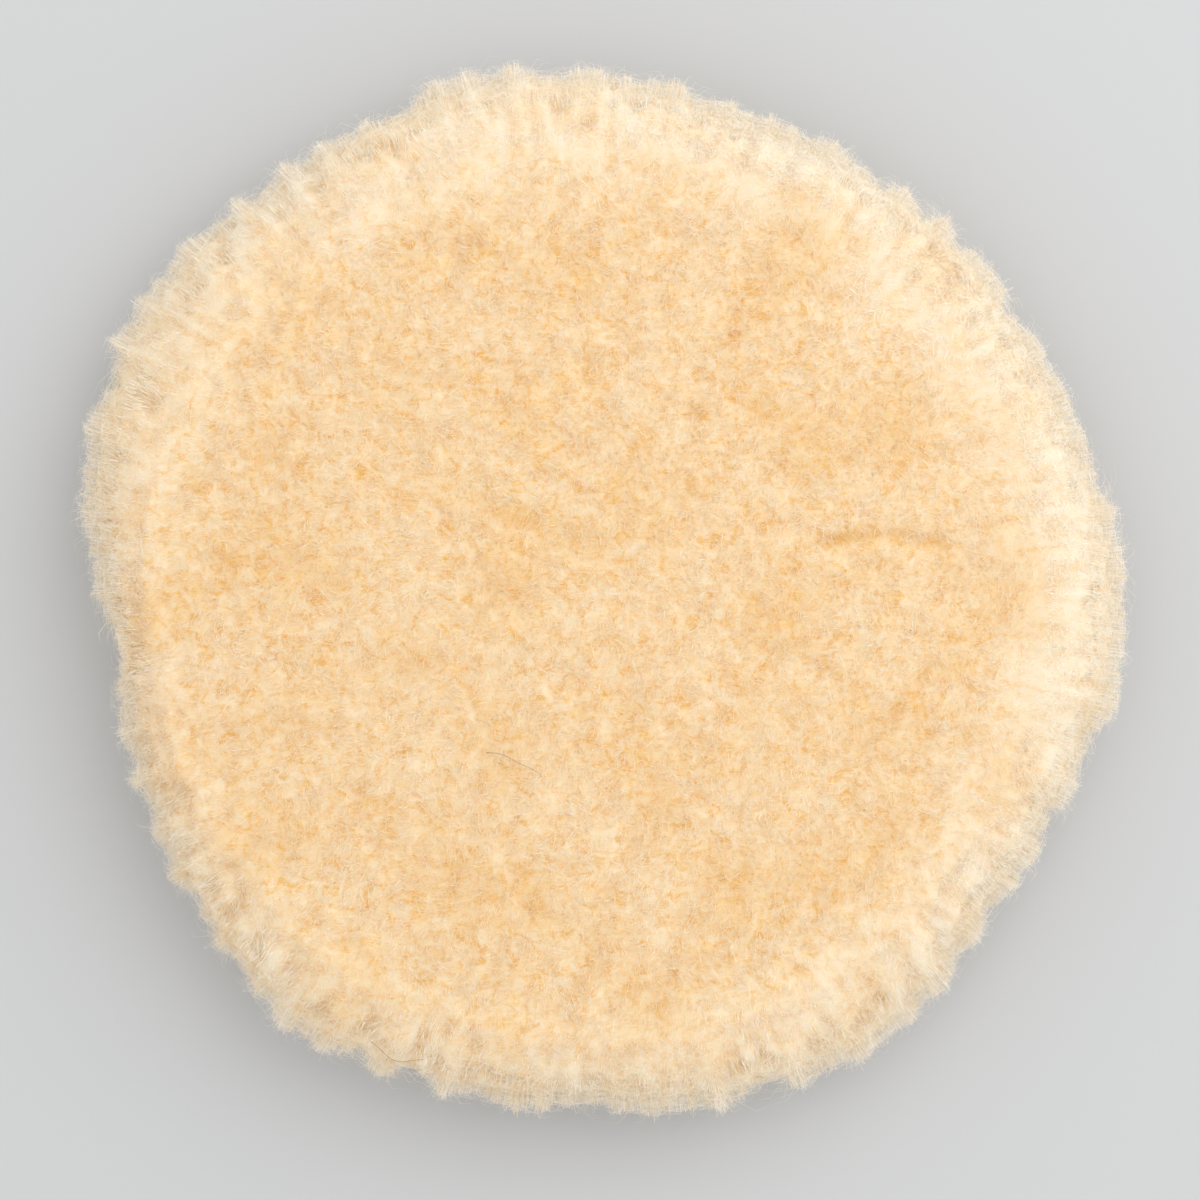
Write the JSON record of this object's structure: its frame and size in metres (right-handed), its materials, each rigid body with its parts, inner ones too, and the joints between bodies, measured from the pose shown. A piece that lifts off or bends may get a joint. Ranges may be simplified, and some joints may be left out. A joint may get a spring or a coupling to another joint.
{
  "type": "sheepskin polishing pad",
  "caption": "Round sheepskin polishing pad: dense sheared wool on a tanned hide, bonded and stitched to a hook-and-loop backing cloth that grips a backing plate.",
  "frame": {"origin": "centre of the loop face, which is the flat face that the machine's backing plate grips and that the pad lies on", "axes": "+Z from the loop face to the wool face, along the axis the pad spins about; +X and +Y lie in the loop face, and the pad is nearly round, so they only fix where the outline's lobes are"},
  "size_m": [0.1653, 0.1658, 0.0252],
  "materials": {
    "wool": "dense sheared sheep's wool, cream tips over golden roots, no gloss",
    "suede": "buffed flesh side of a tanned sheepskin, matte and short-napped",
    "bonding_film": "thin flexible adhesive film, satin",
    "knit_cloth": "warp-knitted nylon ground, matte",
    "loop_nap": "brushed nylon loops, soft and matte",
    "needle_thread": "twisted bonded nylon thread, satin",
    "bobbin_thread": "twisted bonded nylon thread, satin"
  },
  "bodies": {
    "root": {"wool_pile": "wool", "sheepskin_hide": "suede", "bonding_film": "bonding_film", "loop_cloth_ground": "knit_cloth", "loop_cloth_nap": "loop_nap", "seam_needle_thread": "needle_thread", "seam_bobbin_thread": "bobbin_thread"}
  },
  "joints": []
}
